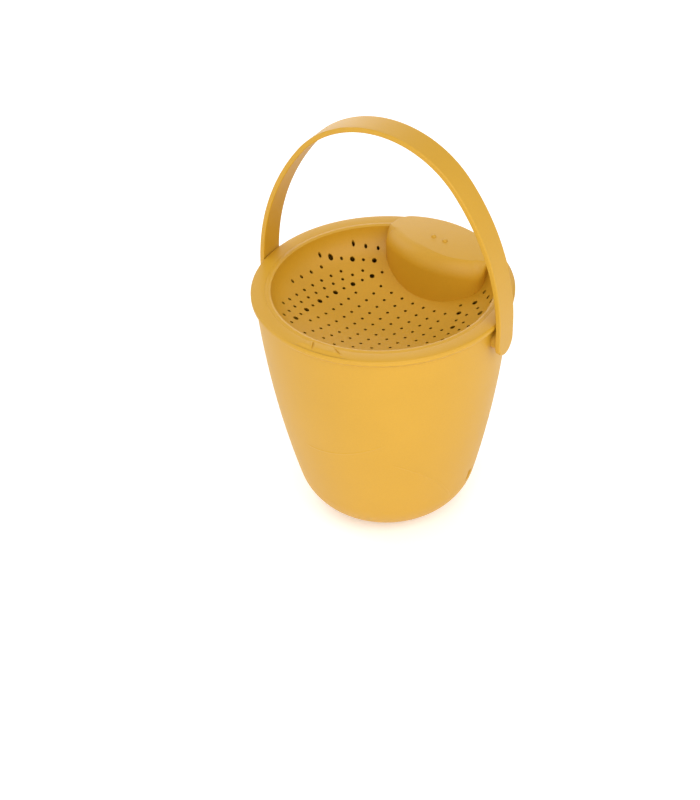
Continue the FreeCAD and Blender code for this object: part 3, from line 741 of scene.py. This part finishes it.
def build_sieve():
    """Drilled bowl, grip and bumps, turned in the seat."""
    bowl = turned("sieve_bowl", bowl_outline(), bearings(1.5))
    drills = merged("drills", [drill(*hole) for hole in grid_holes() + curved_holes()])
    bowl = without(without(bowl, hollow_tool()), drills)
    for mesh in (bowl, grip(), bump("sieve_bump_right", 1), bump("sieve_bump_left", -1)):
        mesh.transform(Matrix.Rotation(math.radians(SIEVE_TURN), 4, "Z"))
        piece(mesh, "sieve", "sieve")


# ---------------------------------------------------------------- the handle

def strap_half():
    """Half of the strap as (point, outward direction, half width), from its round end to its top."""
    rise = STRAP_TOP_CENTRE - STRAP_SPRING
    span, top = STRAP_HALF_SPAN, STRAP_TOP_RADIUS
    shoulder = (span ** 2 + rise ** 2 - top ** 2) / (2 * (span - top))
    turn = math.degrees(math.atan(rise / (shoulder - span)))
    half = []
    for across, up in arc((0, 0), STRAP_HALF_WIDTH, -90, 0, 18):
        half.append((Vector((span, PIVOT_HEIGHT + up)), Vector((1, 0)), across))
    for height in spread(PIVOT_HEIGHT, STRAP_SPRING, 4)[1:-1]:
        half.append((Vector((span, height)), Vector((1, 0)), STRAP_HALF_WIDTH))
    shoulder_centre, top_centre = Vector((span - shoulder, STRAP_SPRING)), Vector((0, STRAP_TOP_CENTRE))
    curve = [(point, shoulder_centre) for point in arc(shoulder_centre, shoulder, 0, turn, 60)]
    curve += [(point, top_centre) for point in arc(top_centre, top, turn, 90, 50)[1:]]
    for point, centre in curve:
        half.append((Vector(point), (Vector(point) - centre).normalized(), STRAP_HALF_WIDTH))
    return half


def strap_line():
    """The whole strap, from one round end to the other."""
    half = strap_half()
    other = [(Vector((-p.x, p.y)), Vector((-out.x, out.y)), width) for p, out, width in half[-2::-1]]
    return half + other


def strap_edge():
    """Rounded edge of the strap as (inset, depth) pairs from its inner to its outer face."""
    flat = STRAP_HALF_THICKNESS - STRAP_EDGE
    quarter = arc((0, 0), STRAP_EDGE, 0, 90, 6)
    outer = [(STRAP_EDGE - across, flat + up) for across, up in quarter]
    return [(inset, -depth) for inset, depth in outer[::-1]] + outer


def strap():
    """Arched strap with rounded edges and round ends."""
    rings = []
    for point, out, width in strap_line():
        share = width / STRAP_HALF_WIDTH
        narrow = math.sqrt(1 - share ** 2)
        lift = Vector((0, narrow))
        ring = []
        for side in (1, -1):
            for inset, depth in strap_edge():
                spot = point + out * depth * side + lift * inset
                ring.append(Vector((spot.x, side * (width - inset * share), spot.y)))
            for step in (0.6, 0.2, -0.2, -0.6):
                spot = point + out * STRAP_HALF_THICKNESS * side + lift * STRAP_EDGE
                ring.append(Vector((spot.x, side * step * (width - STRAP_EDGE * share), spot.y)))
        rings.append(ring)
    return skin("handle_strap", rings, looped=False)


def stud(name, direction):
    """Pivot stud with its snap head inside the wall."""
    outline = softened([
        (0, STUD_TIP), (2.6, STUD_TIP, 0.3), (STUD_HEAD, STUD_HEAD_OUTER, 0.3),
        (STUD_RADIUS, STUD_HEAD_OUTER), (STUD_RADIUS, STRAP_HALF_SPAN - 1), (0, STRAP_HALF_SPAN - 1)])
    return turned(name, outline, bearings(5), sideways(direction))


def build_handle():
    """Strap and studs, leaning about the pivot axis."""
    pivot = Matrix.Translation((0, 0, PIVOT_HEIGHT * METRES))
    lean = pivot @ Matrix.Rotation(math.radians(-HANDLE_LEAN), 4, "X") @ pivot.inverted()
    for mesh in (strap(), stud("handle_stud_right", 1), stud("handle_stud_left", -1)):
        mesh.transform(lean)
        piece(mesh, "handle", "handle")


build_bucket()
build_sieve()
build_handle()


# ---------------------------------------------------------------- studio

def add_floor():
    """Plain pale floor under the bucket."""
    bpy.ops.mesh.primitive_plane_add(size=6)
    floor = bpy.context.object
    floor.name = "floor"
    material = bpy.data.materials.new("pale_floor")
    material.use_nodes = True
    shader = material.node_tree.nodes["Principled BSDF"]
    shader.inputs["Base Color"].default_value = (0.93, 0.93, 0.93, 1)
    shader.inputs["Roughness"].default_value = 0.9
    shader.inputs["Emission Color"].default_value = (1, 1, 1, 1)
    shader.inputs["Emission Strength"].default_value = 0.25
    floor.data.materials.append(material)


def add_world(strength):
    """Even white surroundings."""
    world = bpy.data.worlds.new("white")
    world.use_nodes = True
    background = world.node_tree.nodes["Background"]
    background.inputs["Color"].default_value = (1, 1, 1, 1)
    background.inputs["Strength"].default_value = strength
    bpy.context.scene.world = world


LIGHT_TARGET = Vector((0, 0, 0.12))
LIGHT_DISTANCE = 1.6
LIGHT_SIZE = 1.0


def add_softbox(name, bearing, height, power):
    """Square area light on a bearing (0 is -Y, 90 is +X) and height in degrees, facing the bucket."""
    across, up = math.radians(bearing), math.radians(height)
    way = Vector((math.sin(across) * math.cos(up), -math.cos(across) * math.cos(up), math.sin(up)))
    light = bpy.data.lights.new(name, "AREA")
    light.size = LIGHT_SIZE
    light.energy = power
    lamp = bpy.data.objects.new(name, light)
    lamp.location = LIGHT_TARGET + way * LIGHT_DISTANCE
    lamp.rotation_euler = way.to_track_quat("Z", "Y").to_euler()
    bpy.context.scene.collection.objects.link(lamp)


CAMERA_SPOT = Vector((0.4927, -0.8237, 0.8266))
CAMERA_LENS = 72
VIEW_BEARING = math.radians(32.5)
VIEW_DROP = math.radians(37.66)
CAMERA_ROLL = math.radians(-2.56)


def add_camera():
    """Camera at the photograph's viewing angle."""
    data = bpy.data.cameras.new("camera")
    data.lens = CAMERA_LENS
    camera = bpy.data.objects.new("camera", data)
    right = Vector((math.cos(VIEW_BEARING), math.sin(VIEW_BEARING), 0))
    away = Vector((-math.sin(VIEW_BEARING), math.cos(VIEW_BEARING), 0))
    forward = away * math.cos(VIEW_DROP) - Vector((0, 0, math.sin(VIEW_DROP)))
    down = forward.cross(right)
    image_right = right * math.cos(CAMERA_ROLL) - down * math.sin(CAMERA_ROLL)
    image_down = right * math.sin(CAMERA_ROLL) + down * math.cos(CAMERA_ROLL)
    turn = Matrix((image_right, -image_down, -forward)).transposed()
    camera.matrix_world = Matrix.Translation(CAMERA_SPOT) @ turn.to_4x4()
    bpy.context.scene.collection.objects.link(camera)
    bpy.context.scene.camera = camera


add_floor()
add_world(0.7)
add_softbox("front_softbox", 22, 42, 7.2)
add_softbox("low_front_softbox", 15, 6, 3.2)
add_softbox("right_softbox", 75, 38, 8.0)
add_softbox("back_softbox", 210, 12, 7.5)
add_softbox("left_softbox", -90, 38, 5.0)
add_camera()
bpy.context.scene.view_settings.view_transform = "Standard"
